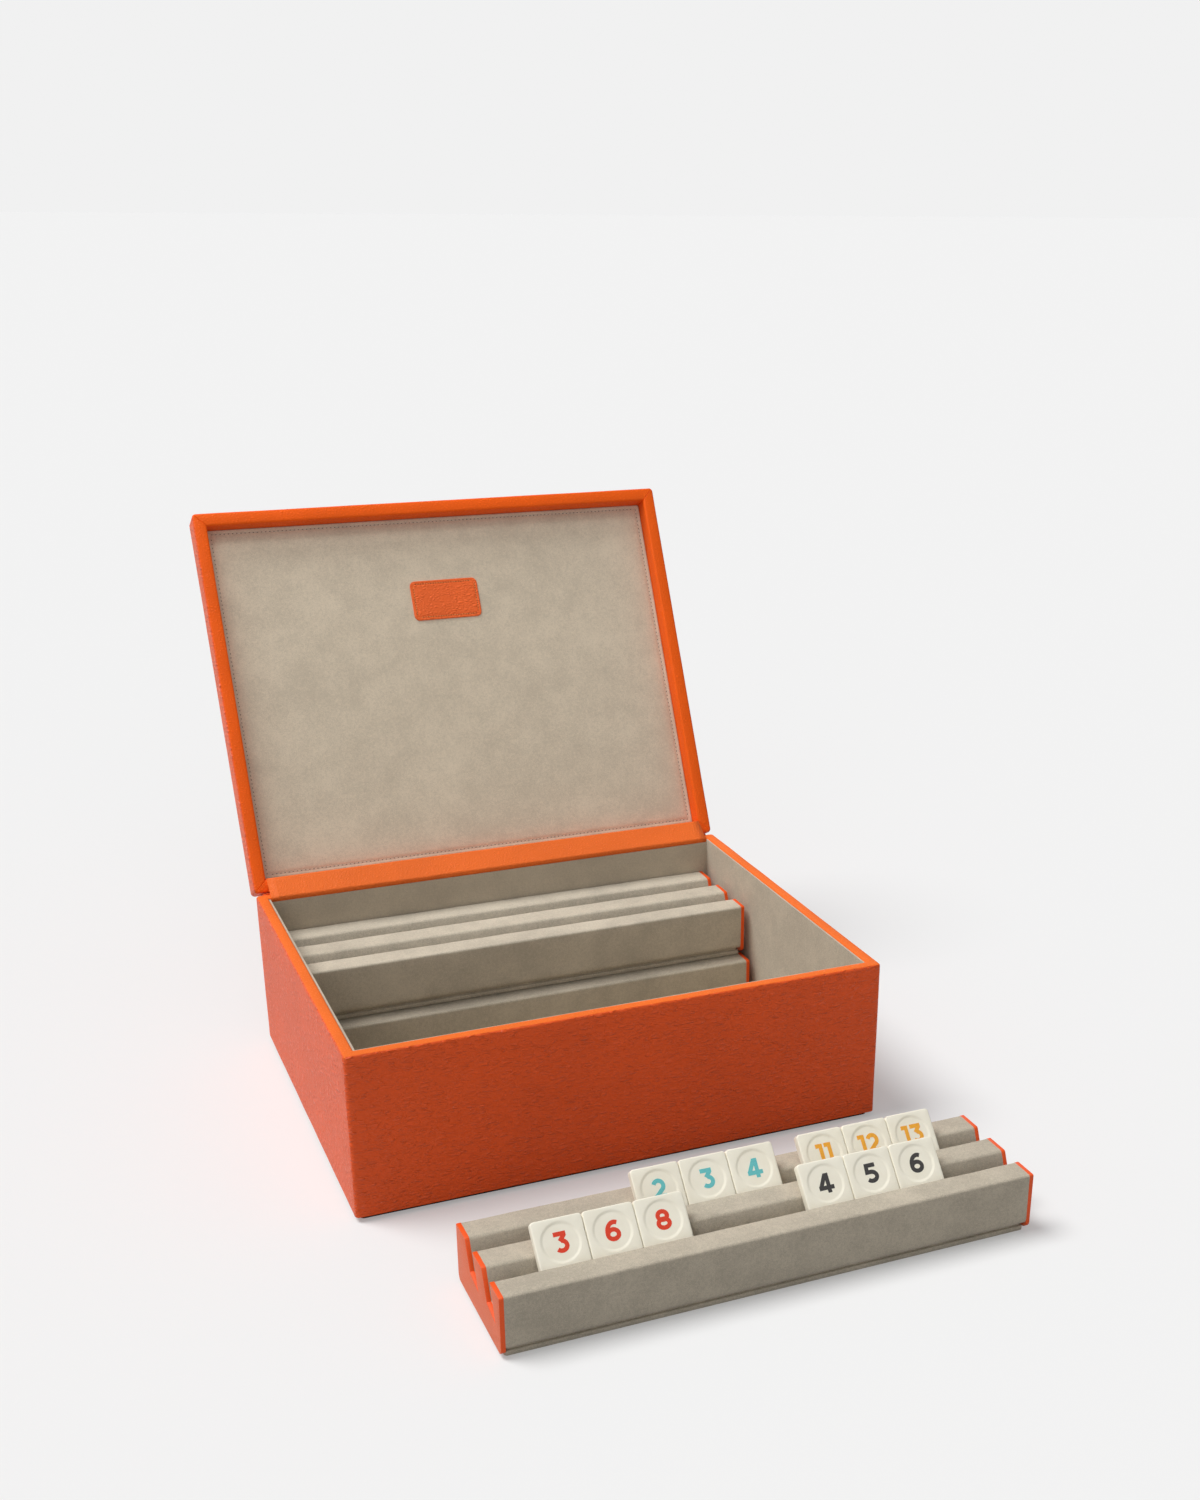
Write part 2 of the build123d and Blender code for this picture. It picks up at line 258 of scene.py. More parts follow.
def leather(name, colour, grain, stretch, depth, gloss, crease=0.3, ripple=0.0, sheen=0.04, shine=0.18):
    """Grained leather: rounded cells, ripples where it was stretched, a slow mottling, and painted shade
    that darkens the creases by the share crease.
    """
    skin = {
        "Specular IOR Level": shine,
        "Sheen Weight": sheen,
        "Sheen Roughness": 0.4,
        "Sheen Tint": (1.0, 0.62, 0.5, 1.0),
    }
    finish = Finish(name, skin)
    place = finish.place(stretch)
    cells = finish.pebbles(finish.wander(place, 2.4 * grain, 0.6 * grain), grain, 0.5)
    folds = finish.noise(place, 1.45 * grain, 1.2)
    ripples = finish.span((folds - 0.5) * (folds - 0.5), 0.0, 0.013)
    fine_cells = finish.pebbles(finish.wander(finish.place(), 2 * MM, 0.6 * MM), 0.75 * MM, 0.5)
    height = cells * (0.9 - ripple) + ripples * (cells * 0.6 + 0.4) * ripple + fine_cells * 0.1
    mottling = finish.noise(finish.place(), 38 * MM, 3.0)
    base = finish.mix(finish.span(mottling, 0.3, 0.7), darker(colour, 0.07), colour)
    # painted shade: the creases are coloured towards a much darker leather, by up to the share crease
    finish.colour(finish.mix(finish.span(height, 0.7, 0.2, 0.0, crease), base, darker(colour, 0.6)))
    finish.roughness(finish.span(height, 0.1, 0.9, gloss + 0.15, gloss))
    finish.bump(height, depth)
    return finish.material


def suede(name, colour, nap, depth=0.16 * MM, contrast=0.18):
    """Napped suede: a fine fuzz, and patches where the nap lies another way."""
    finish = Finish(name, {"Specular IOR Level": 0.12, "Sheen Weight": 0.22, "Sheen Roughness": 0.45})
    place = finish.place()
    fuzz = finish.noise(place, nap, 2.0)
    tufts = finish.noise(place, 3.6 * nap, 2.0)
    brushed = finish.noise(place, 16 * MM, 4.0, roughness=0.6)
    broad = finish.noise(place, 55 * MM, 2.0)
    tone = fuzz * 0.4 + tufts * 0.18 + brushed * 0.24 + broad * 0.18
    light = finish.span(tone, 0.38, 0.62)
    finish.colour(finish.mix(light, darker(colour, contrast), darker(colour, -0.45 * contrast)))
    finish.roughness(finish.span(fuzz, 0.2, 0.8, 0.98, 0.86))
    finish.bump(fuzz * 0.7 + tufts * 0.8, depth)
    return finish.material


def ivory():
    """Moulded tile plastic, slightly cloudy."""
    finish = Finish("ivory_plastic", {"Specular IOR Level": 0.45})
    cloud = finish.noise(finish.place(), 9 * MM, 3.0)
    finish.colour(finish.mix(finish.span(cloud, 0.3, 0.7), (0.92, 0.875, 0.735), (0.95, 0.91, 0.775)))
    skin = finish.noise(finish.place(), 0.8 * MM, 3.0)
    finish.roughness(finish.span(skin, 0.3, 0.7, 0.44, 0.52))
    finish.bump(skin, 0.015 * MM)
    return finish.material


def paint_or_shade(name, colour):
    """Paint in a number or on a cut edge, or the painted shade in a needle hole, a little uneven."""
    finish = Finish(name, {"Specular IOR Level": 0.4})
    uneven = finish.noise(finish.place(), 0.6 * MM, 3.0)
    finish.colour(finish.mix(finish.span(uneven, 0.3, 0.7), darker(colour, 0.12), colour))
    finish.roughness(finish.span(uneven, 0.3, 0.7, 0.4, 0.52))
    finish.bump(uneven, 0.02 * MM)
    return finish.material


def thread(name, colour):
    """Twisted thread."""
    finish = Finish(name, {"Specular IOR Level": 0.2, "Sheen Weight": 0.2})
    place = finish.place()
    fibre = finish.noise(place, 0.22 * MM, 3.0)
    finish.colour(finish.mix(finish.span(fibre, 0.3, 0.7), darker(colour, 0.3), colour))
    finish.roughness(finish.span(fibre, 0.3, 0.7, 0.7, 0.85))
    finish.bump(fibre, 0.06 * MM)
    return finish.material


def book_cloth():
    """Dark woven cloth under the case."""
    finish = Finish("dark_book_cloth", {"Specular IOR Level": 0.15})
    place = finish.place()
    weave = finish.pebbles(place, 0.7 * MM)
    finish.colour(finish.mix(weave, (0.010, 0.008, 0.007), (0.028, 0.022, 0.019)))
    finish.roughness(finish.span(weave, 0.0, 1.0, 0.95, 0.8))
    finish.bump(weave, 0.08 * MM)
    return finish.material


def grey_board():
    """Pressed board inside the leather."""
    finish = Finish("pressed_board", {"Specular IOR Level": 0.15})
    place = finish.place((6.0, 1.0, 1.0))
    fibre = finish.noise(place, 1.2 * MM, 4.0)
    finish.colour(finish.mix(finish.span(fibre, 0.3, 0.7), (0.22, 0.17, 0.12), (0.36, 0.29, 0.22)))
    finish.roughness(finish.span(fibre, 0.0, 1.0, 0.95, 0.8))
    finish.bump(fibre, 0.05 * MM)
    return finish.material


MADE_FINISHES = [
    leather(
        "wall_leather",
        (0.97, 0.105, 0.005),
        grain=2.1 * MM,
        stretch=(2.8, 2.8, 1.0),
        depth=1.15 * MM,
        gloss=0.36,
        crease=0.18,
        ripple=0.6,
        sheen=0.14,
        shine=0.38,
    ),
    # rim leather: smoother leather for the rim and the turn-in; its paler, yellower colour is partly a
    # painted highlight of the lit rim
    leather(
        "rim_leather",
        (0.97, 0.18, 0.022),
        grain=1.4 * MM,
        stretch=(1.2, 1.2, 1.0),
        depth=0.16 * MM,
        gloss=0.45,
        crease=0.12,
    ),
    leather(
        "lid_leather",
        (0.98, 0.125, 0.003),
        grain=1.3 * MM,
        stretch=(1.5, 1.0, 1.0),
        depth=0.20 * MM,
        gloss=0.42,
        crease=0.12,
    ),
    leather(
        "strip_leather",
        (1.0, 0.185, 0.028),
        grain=1.15 * MM,
        stretch=(1.7, 1.0, 1.2),
        depth=0.26 * MM,
        gloss=0.38,
        crease=0.14,
    ),
    leather(
        "patch_leather",
        (1.0, 0.165, 0.035),
        grain=1.5 * MM,
        stretch=(2.0, 1.0, 1.0),
        depth=0.38 * MM,
        gloss=0.42,
        crease=0.16,
    ),
    # end leather: its paler, pinker colour is partly the plates' own leather and partly painted sheen
    leather(
        "end_leather",
        (0.89, 0.165, 0.06),
        grain=0.9 * MM,
        stretch=(1.0, 1.0, 1.0),
        depth=0.3 * MM,
        gloss=0.45,
        crease=0.1,
        sheen=0.26,
        shine=0.3,
    ),
    suede("case_suede", (0.55, 0.475, 0.37), nap=0.42 * MM),
    suede("lining_suede", (0.66, 0.565, 0.435), nap=0.5 * MM),
    suede("rack_suede", (0.53, 0.467, 0.37), nap=0.5 * MM, depth=0.22 * MM, contrast=0.22),
    ivory(),
    paint_or_shade("edge_paint", (0.93, 0.10, 0.006)),
    paint_or_shade("number_red", (0.80, 0.058, 0.022)),
    paint_or_shade("number_black", (0.040, 0.037, 0.036)),
    paint_or_shade("number_blue", (0.15, 0.58, 0.60)),
    paint_or_shade("number_orange", (0.98, 0.45, 0.045)),
    thread("taupe_thread", (0.80, 0.72, 0.60)),
    thread("orange_thread", (0.98, 0.40, 0.10)),
    # painted shade: the dark colours of the needle holes stand for the shade inside the holes
    paint_or_shade("lining_hole", (0.14, 0.11, 0.085)),
    paint_or_shade("patch_hole", (0.16, 0.030, 0.012)),
    book_cloth(),
    grey_board(),
]
FINISHES = {material.name: material for material in MADE_FINISHES}


# ------------------------------------------------------------------ making pieces
def local_box(node, place):
    """Lowest and highest corner of a CAD node, in the axes of a matrix."""
    inwards = place.inverted()
    points = [inwards @ vertex.co for vertex in frame["nodes"][node].data.vertices]
    low = Vector([min(point[axis] for point in points) for axis in range(3)])
    high = Vector([max(point[axis] for point in points) for axis in range(3)])
    return low, high


def finished(name, shape, body, finishes, replaced=(), place=None, crease=35):
    """Turn a bmesh into a piece that rides on a body, in place of the CAD nodes it stands for."""
    mesh = bpy.data.meshes.new(name)
    if place:
        bmesh.ops.transform(shape, matrix=place, verts=shape.verts)
    shape.to_mesh(mesh)
    shape.free()
    mesh.shade_smooth()
    mesh.set_sharp_from_angle(angle=radians(crease))
    for finish in finishes:
        mesh.materials.append(FINISHES[finish])
    piece = bpy.data.objects.new(name, mesh)
    bpy.context.scene.collection.objects.link(piece)
    if body:
        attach(piece, body)
    if replaced:
        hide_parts(*replaced)
    return piece


def block(low, high):
    """A bmesh box between two corners."""
    shape = bmesh.new()
    bmesh.ops.create_cube(shape, size=1.0)
    size = Vector(high) - Vector(low)
    middle = (Vector(high) + Vector(low)) / 2
    bmesh.ops.scale(shape, vec=size, verts=shape.verts)
    bmesh.ops.translate(shape, vec=middle, verts=shape.verts)
    return shape


def inset(shape, faces, width, depth=0.0):
    bmesh.ops.inset_region(shape, faces=faces, thickness=width, depth=depth, use_even_offset=True)


def facing(shape, axis, sign):
    """The faces that look along an axis."""
    shape.normal_update()
    return [face for face in shape.faces if face.normal[axis] * sign > 0.9]


def innermost(shape, sign):
    """The face nearest the middle of a box's top or bottom, in its own axes."""
    middle = sum((vertex.co for vertex in shape.verts), Vector()) / len(shape.verts)
    return min(facing(shape, 2, sign), key=lambda face: (face.calc_center_median() - middle).xy.length)


def rounded(shape, edges, radius, segments=3):
    bmesh.ops.bevel(
        shape, geom=edges, offset=radius, segments=segments, profile=0.5, affect="EDGES", material=-1
    )


def edges_along(shape, axis):
    """The edges that run along an axis."""
    found = []
    for edge in shape.edges:
        along = edge.verts[1].co - edge.verts[0].co
        if abs(along[axis]) > 0.99 * along.length:
            found.append(edge)
    return found


def upright_corners(shape, high):
    """The four edges at a box's corners, without those of an opening inside it."""
    return [edge for edge in edges_along(shape, 2) if abs(edge.verts[0].co.x) > high.x - MM]


def edges_round(faces):
    """The edges between the given faces and others."""
    inside = set(faces)
    return list({e for face in faces for e in face.edges if any(f not in inside for f in e.link_faces)})


def sliced(shape, axis, step):
    """Cut a shape across an axis into slices of about one step."""
    places = [vertex.co[axis] for vertex in shape.verts]
    low, high = min(places), max(places)
    count = max(1, round((high - low) / step))
    for number in range(1, count):
        cut(shape, axis, low + (high - low) * number / count)


def cut(shape, axis, place):
    spot, normal = Vector(), Vector()
    spot[axis] = place
    normal[axis] = 1.0
    everything = shape.verts[:] + shape.edges[:] + shape.faces[:]
    bmesh.ops.bisect_plane(shape, geom=everything, plane_co=spot, plane_no=normal, dist=1e-7)


def thickened(piece, thickness):
    """Give a skin its thickness, inwards."""
    wall = piece.modifiers.new("thickness", "SOLIDIFY")
    wall.thickness = thickness
    wall.offset = -1


def uneven(shape, size, height):
    """Push the skin in and out a little, as leather and suede lie on board."""
    shape.normal_update()
    for vertex in shape.verts:
        vertex.co += vertex.normal * height * noise.noise(vertex.co / size)


def bar(outline, low_x, high_x):
    """A bar along X with the given outline of (y, z) points."""
    shape = bmesh.new()
    corners = [shape.verts.new((low_x, y, z)) for y, z in outline]
    end = shape.faces.new(corners)
    grown = bmesh.ops.extrude_face_region(shape, geom=[end], use_keep_orig=True)
    moved = [item for item in grown["geom"] if isinstance(item, bmesh.types.BMVert)]
    bmesh.ops.translate(shape, vec=(high_x - low_x, 0, 0), verts=moved)
    bmesh.ops.recalc_face_normals(shape, faces=shape.faces)
    return shape


# ------------------------------------------------------------------ case
def make_case_cover():
    """The case's leather: outside, over the rim, down inside it and in under the walls."""
    low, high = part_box("case_leather")
    shape = block(low, high)
    for sign, depth in ((1, TURN_IN), (-1, 0.0)):
        inset(shape, facing(shape, 2, sign), RIM_WIDTH)
        inset(shape, [innermost(shape, sign)], 0.0, -depth)
        bmesh.ops.delete(shape, geom=[innermost(shape, sign)], context="FACES_ONLY")
    rounded(shape, upright_corners(shape, high), CORNER_RADIUS, 6)
    rounded(shape, edges_round(facing(shape, 2, 1)), EDGE_RADIUS)
    for axis in range(3):
        sliced(shape, axis, COVER_SLICE)
    # the rim and the turn-in get rim leather, whose paler colour is partly a painted highlight
    for face in shape.faces:
        centre = face.calc_center_median()
        inside = abs(centre.x) < high.x - COVER_BORDER and abs(centre.y) < high.y - COVER_BORDER
        face.material_index = 1 if inside and centre.z > high.z - TURN_IN - MM else 0
    uneven(shape, size=COVER_WAVE, height=0.14 * MM)
    finishes = ["wall_leather", "rim_leather"]
    cover = finished("case_cover", shape, "case", finishes, ["case_leather"])
    thickened(cover, LEATHER)


# ------------------------------------------------------------------ lid
hinge = next(joint for joint in frame["joints"] if joint["name"] == "lid_hinge")
hinge_spot = Vector(hinge["pos_m"])
opening = radians(-min(hinge["range_deg"]))
up_the_lid = Vector((0, -cos(opening), sin(opening)))
into_the_lid = Vector((1, 0, 0)).cross(up_the_lid)
# x to the right, y up the open lid, z out of the open lid towards its front
lid_axes = Matrix((Vector((1, 0, 0)), up_the_lid, into_the_lid)).transposed()
lid_place = Matrix.Translation(hinge_spot) @ lid_axes.to_4x4()


def make_lid_cover():
    """The lid's leather, a shallow tray with mitred rails."""
    low, high = local_box("lid_leather", lid_place)
    board_high = local_box("lid_board", lid_place)[1]
    shape = block(low, high)
    inset(shape, facing(shape, 2, 1), LID_RIM_WIDTH)
    inset(shape, [innermost(shape, 1)], 0.0, board_high.z + 0.1 * MM - high.z)
    rounded(shape, upright_corners(shape, high), CORNER_RADIUS, 6)
    rim_faces = [face for face in facing(shape, 2, 1) if face.calc_center_median().z > high.z - MM / 2]
    rounded(shape, edges_round(rim_faces), EDGE_RADIUS)
    rounded(shape, edges_round(facing(shape, 2, -1)), LID_BACK_EDGE, 4)
    for axis in range(3):
        sliced(shape, axis, COVER_SLICE)
    mitre(shape, low, high)
    for face in shape.faces:
        centre = face.calc_center_median()
        inside = abs(centre.x) < high.x - COVER_BORDER
        inside = inside and low.y + COVER_BORDER < centre.y < high.y - COVER_BORDER
        face.material_index = 0 if inside and centre.z > board_high.z - MM else 1
    uneven(shape, size=COVER_WAVE, height=0.12 * MM)
    finishes = ["lid_leather", "wall_leather"]
    finished("lid_cover", shape, "lid", finishes, ["lid_leather"], lid_place)


def mitre(shape, low, high):
    """A fine crease across each corner of the rim, where two rails meet."""
    for side in (-1, 1):
        for end, corner_y in ((-1, low.y), (1, high.y)):
            corner = Vector((side * high.x, corner_y, high.z))
            across = Vector((side, -end, 0)).normalized()
            for offset in (-MITRE_WIDTH / 2, 0, MITRE_WIDTH / 2):
                upper = [face for face in shape.faces if face.normal.z > 0.3]
                near = [f for f in upper if (f.calc_center_median() - corner).length < 3 * LID_RIM_WIDTH]
                geom = list({item for f in near for item in (*f.verts, *f.edges, f)})
                spot = corner + across * offset
                bmesh.ops.bisect_plane(shape, geom=geom, plane_co=spot, plane_no=across, dist=1e-7)
            for vertex in shape.verts:
                reach = vertex.co - corner
                on_rim = vertex.co.z > high.z - EDGE_RADIUS and reach.length < 2 * LID_RIM_WIDTH
                if on_rim and abs(reach.dot(across)) < MITRE_WIDTH / 8:
                    vertex.co.z -= MITRE_DEPTH


def soft_panel(node, corner, edge, rise, dip, seam, cuts):
    """A stitched panel in the lid's axes: raised in the middle, and drawn in along its seam.

    It is cut along its sides at the given millimetres from its border, so that it can bend there.
    """
    low, high = local_box(node, lid_place)
    shape = block(low, high)
    rounded(shape, edges_along(shape, 2), corner, 4)
    rounded(shape, edges_round(facing(shape, 2, 1)), edge, 4)
    for margin in cuts:
        for axis in (0, 1):
            cut(shape, axis, low[axis] + margin * MM)
            cut(shape, axis, high[axis] - margin * MM)
    sliced(shape, 0, 10 * MM)
    sliced(shape, 1, 10 * MM)
    for vertex in shape.verts:
        if vertex.co.z > high.z - edge / 2:
            x, y = vertex.co.xy
            margin = min(x - low.x, high.x - x, y - low.y, high.y - y)
            swell = min(1.0, max(0.0, margin - seam) / (4 * seam))
            drawn = max(0.0, 1 - abs(margin - seam) / (0.55 * seam))
            vertex.co.z += rise * swell * (2 - swell) - dip * drawn * drawn * (3 - 2 * drawn)
    return shape


def make_lining():
    """The padded suede panel inside the lid."""
    shape = soft_panel(
        "lid_lining",
        LINING_CORNER,
        LINING_EDGE,
        rise=0.35 * MM,
        dip=0.3 * MM,
        seam=SEAM_INSET,
        cuts=(1.6, 2.2, 2.6, 3.0, 3.4, 3.9, 4.6, 6, 8, 11, 15),
    )
    uneven(shape, size=30 * MM, height=0.1 * MM)
    piece = finished(
        "lid_lining_suede", shape, "lid", ["lining_suede"], ["lid_lining"], lid_place
    )


def make_patch():
    """The bare leather patch on the lining."""
    shape = soft_panel(
        "lid_patch",
        PATCH_CORNER,
        PATCH_EDGE,
        rise=0.25 * MM,
        dip=0.2 * MM,
        seam=PATCH_SEAM_INSET,
        cuts=(1.2, 1.6, 2.1, 2.6, 3.2, 4.5),
    )
    sliced(shape, 0, 2 * MM)
    sliced(shape, 1, 2 * MM)
    uneven(shape, size=5 * MM, height=0.08 * MM)
    finishes = ["patch_leather"]
    finished("lid_patch_leather", shape, "lid", finishes, ["lid_patch"], lid_place)


def seam_spots(low, high, corner, pitch):
    """Points and directions of evenly spaced stitches round a rectangle with rounded corners."""
    sides = (
        ((low.x + corner, low.y), (high.x - corner, low.y)),
        ((high.x, low.y + corner), (high.x, high.y - corner)),
        ((high.x - corner, high.y), (low.x + corner, high.y)),
        ((low.x, high.y - corner), (low.x, low.y + corner)),
    )
    spots = []
    for start, end in sides:
        along = Vector(end) - Vector(start)
        count = max(1, round(along.length / pitch))
        spots += [(Vector(start) + along * (number + 0.5) / count, along) for number in range(count)]
    return spots


def bead(length, width, height):
    """The mesh of one small rounded bead, for stitches and needle holes."""
    shape = bmesh.new()
    size = Matrix.Diagonal((length, width, height, 1))
    bmesh.ops.create_uvsphere(shape, u_segments=6, v_segments=5, radius=0.5, matrix=size)
    mesh = bpy.data.meshes.new("bead")
    shape.to_mesh(mesh)
    shape.free()
    return mesh


def strewn(mesh, places):
    """A bmesh with a copy of a mesh at each of the given matrices."""
    shape = bmesh.new()
    for place in places:
        copy = mesh.copy()
        copy.transform(place)
        shape.from_mesh(copy)
        bpy.data.meshes.remove(copy)
    return shape


def make_seam(name, margin, corner, pitch, stitch_size, thread_finish):
    """A row of stitches round a panel of the lid and, between them, dark beads that are the painted shade
    of the needle holes.
    """
    length, width, sink = stitch_size
    low, high = local_box(f"lid_{name}", lid_place)
    border = Vector((margin, margin, 0))
    surface = high.z - sink
    stitch_places, hole_places = [], []
    for spot, along in seam_spots(low + border, high - border, corner, pitch):
        turn = Matrix.Rotation(-Vector((1, 0)).angle_signed(along), 4, "Z")
        stitch = Matrix.Translation((spot.x, spot.y, surface)) @ turn
        stitch_places.append(stitch)
        hole_places.append(stitch @ Matrix.Translation((pitch / 2, 0, 0)))
    stitches = strewn(bead(length, width, 0.6 * width), stitch_places)
    # painted shade: each needle hole is a dark bead standing for the shade inside the hole
    holes = strewn(bead(pitch - length + 0.2 * MM, 1.15 * width, 0.25 * width), hole_places)
    finished(f"{name}_stitches", stitches, "lid", [thread_finish], place=lid_place, crease=80)
    hole_finish = [f"{name}_hole"]
    finished(f"{name}_needle_holes", holes, "lid", hole_finish, place=lid_place, crease=80)


# ------------------------------------------------------------------ leather hinge
def band(name, path, half_length, thickness, finish, replaced):
    """A leather band that follows a path of (y, z) points, as long as the case is wide or a little less."""
    shape = bmesh.new()
    row = [shape.verts.new((-half_length, y, z)) for y, z in path]
    edges = [shape.edges.new(pair) for pair in zip(row, row[1:])]
    grown = bmesh.ops.extrude_edge_only(shape, edges=edges)
    moved = [item for item in grown["geom"] if isinstance(item, bmesh.types.BMVert)]
    bmesh.ops.translate(shape, vec=(2 * half_length, 0, 0), verts=moved)
    sliced(shape, 0, 6 * MM)
    uneven(shape, size=12 * MM, height=0.1 * MM)
    piece = finished(name, shape, None, [finish], replaced, crease=60)
    thickened(piece, thickness)
    return piece


def bend(before, corner, after, radius, count=5):
    """Points of a rounded corner between two straight runs."""
    start = corner + (before - corner).normalized() * radius
    end = corner + (after - corner).normalized() * radius
    points = []
    for number in range(count + 1):
        share = number / count
        points.append(start.lerp(corner, share).lerp(corner.lerp(end, share), share))
    return points


def in_lid(y, z):
    """A point given in the lid's axes, as (y, z) in the object's."""
    return (lid_place @ Vector((0, y, z))).yz


def straight(start, end, count):
    """Points between two points, without the two."""
    return [start.lerp(end, number / (count + 1)) for number in range(1, count + 1)]


def make_hinge_strip():
    """The inner strip, taut while the lid is open: down the back wall, across, and down the lid's rail."""
    low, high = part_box("hinge_strip")
    case_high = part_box("case_leather")[1]
    rim_low, rim_high = local_box("lid_leather", lid_place)
    lining_high = local_box("lid_lining", lid_place)[1]
    face_y = case_high.y - RIM_WIDTH - STRIP_THICKNESS - STRIP_GAP
    lid_face_y = rim_low.y + LID_RIM_WIDTH + STRIP_THICKNESS
    foot = Vector((face_y, low.z))
    rim_corner = Vector((face_y, case_high.z + STRIP_OVER_RIM))
    lid_corner = in_lid(lid_face_y, rim_high.z + STRIP_OVER_LID_RIM)
    end = in_lid(lid_face_y + STRIP_GAP, lining_high.z - STRIP_INTO_LINING)
    first = bend(foot, rim_corner, lid_corner, STRIP_BENDS[0])
    second = bend(rim_corner, lid_corner, end, STRIP_BENDS[1])
    path = [foot, *first, *straight(first[-1], second[0], 8), *second]
    path += [*straight(second[-1], end, 3), end]
    strip = band("hinge_strip_leather", path, high.x, STRIP_THICKNESS, "strip_leather", ["hinge_strip"])
    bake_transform(strip)


def make_spine():
    """The outer leather from the back of the case to the back of the lid."""
    low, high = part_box("spine_case_leaf")
    case_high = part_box("case_leather")[1]
    rim_low, rim_high = local_box("lid_leather", lid_place)
    face_y = case_high.y + SPINE_THICKNESS
    lid_face_y = rim_low.y - SPINE_THICKNESS
    foot = Vector((face_y, low.z))
    fold = Vector((face_y, hinge_spot.z - SPINE_FOLD))
    lid_fold = in_lid(lid_face_y, -SPINE_FOLD)
    tail = in_lid(lid_face_y, rim_high.z - SPINE_REACH_ON_LID)
    path = [foot, *straight(foot, fold, 6), fold, lid_fold, *straight(lid_fold, tail, 4), tail]
    leaves = ["spine_case_leaf", "spine_lid_leaf"]
    spine = band("hinge_spine_leather", path, high.x, SPINE_THICKNESS, "wall_leather", leaves)
    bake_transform(spine)


# ------------------------------------------------------------------ racks
def comb(depth, bottom, top, slot_depths):
    """Cross-section of a rack above its foot: distance from its back, and height."""
    points = [(0, bottom), (0, top)]
    for number in (0, 1):
        near = TOOTH + number * (TOOTH + SLOT)
        points.append((near, top))
        for edge, slot_depth in zip((near, near + SLOT), slot_depths):
            points.append((edge + slot_depth * SLOT_LEAN, top - slot_depth))
        points.append((near + SLOT, top))
    return points + [(depth, top), (depth, bottom)]


def comb_bar(low, high, top, slot_depths):
    """A bar with the rack's cross-section, which fills a box up to the rails' top."""
    outline = comb(high.y - low.y, low.z, top, slot_depths)
    return bar([(high.y - v, z) for v, z in outline], low.x, high.x)


def make_rack_suede(rack):
    """The suede over one rack's rails and bed."""
    low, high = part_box(f"{rack}_bed")
    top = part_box(f"{rack}_middle_rail")[1].z
    slot_depth = top - high.z
    shape = comb_bar(low, high, top, (slot_depth, slot_depth))
    top_edges = [edge for edge in edges_along(shape, 0) if edge.verts[0].co.z > top - MM]
    rounded(shape, top_edges, SUEDE_EDGE, 4)
    low_edges = [edge for edge in edges_along(shape, 0) if edge.verts[0].co.z < low.z + MM / 10]
    rounded(shape, low_edges, END_CORNER, 4)
    sliced(shape, 0, 7 * MM)
    sliced(shape, 2, 6 * MM)
    uneven(shape, size=17 * MM, height=0.16 * MM)
    replaced = [f"{rack}_{part}" for part in ("bed", "back_rail", "middle_rail", "front_rail")]
    finished(f"{rack}_suede", shape, rack, ["rack_suede"], replaced, crease=50)


def make_rack_foot(rack):
    """The foot under a rack: a plate with rounded corners, below a groove that runs all round."""
    node = f"{rack}_foot"
    low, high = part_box(node)
    shape = block(low, (high.x, high.y, low.z + FOOT_PLATE))
    rounded(shape, edges_along(shape, 2), FOOT_CORNER, 6)
    inset(shape, facing(shape, 2, 1), FOOT_GROOVE)
    inset(shape, [innermost(shape, 1)], 0.0, high.z - low.z - FOOT_PLATE)
    upright = [face for face in shape.faces if abs(face.normal.z) < 0.1]
    outer = [face for face in upright if face.calc_center_median().z < low.z + FOOT_PLATE]
    rounded(shape, edges_round(outer), FOOT_EDGE, 3)
    finished(f"{rack}_foot_suede", shape, rack, ["rack_suede"], [node], crease=50)


def make_rack_end(rack, side):
    """A leather end plate with painted edges, its outer lower edge rounded under."""
    node = f"{rack}_{side}_end"
    low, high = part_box(node)
    outer = 1 if side == "right" else -1
    low.z -= END_APRON
    shape = comb_bar(low, high, high.z, (END_SLOT_DEPTH_BACK, END_SLOT_DEPTH_FRONT))
    crosswise = edges_along(shape, 0)
    rounded(shape, [e for e in crosswise if e.verts[0].co.z < low.z + MM], END_CORNER, 4)
    crosswise = edges_along(shape, 0)
    rounded(shape, [e for e in crosswise if e.verts[0].co.z > high.z - MM / 10], END_TIP, 3)
    under = [e for e in edges_along(shape, 1) if e.verts[0].co.z < low.z + MM / 10]
    middle_x = (low.x + high.x) / 2
    outer_under = [e for e in under if (e.verts[0].co.x - middle_x) * outer > 0]
    rounded(shape, outer_under, END_LOWER_EDGE, 4)
    rounded(shape, edges_round(facing(shape, 0, outer)), END_EDGE, 2)
    shape.normal_update()
    # the flat faces get end leather, whose paler colour is partly painted sheen; the cut edges get edge
    # paint
    for face in shape.faces:
        face.material_index = 0 if abs(face.normal.x) > 0.9 else 1
    bmesh.ops.triangulate(shape, faces=[face for face in shape.faces if len(face.verts) > 4])
    finishes = ["end_leather", "edge_paint"]
    finished(f"{node}_leather", shape, rack, finishes, [node], crease=40)


# ------------------------------------------------------------------ tiles
def arc(x, y, width, height, start, end, steps=18):
    """Points of an elliptical arc, from one angle to another in degrees."""
    angles = [radians(start + (end - start) * number / steps) for number in range(steps + 1)]
    return [(x + width * cos(angle), y + height * sin(angle)) for angle in angles]


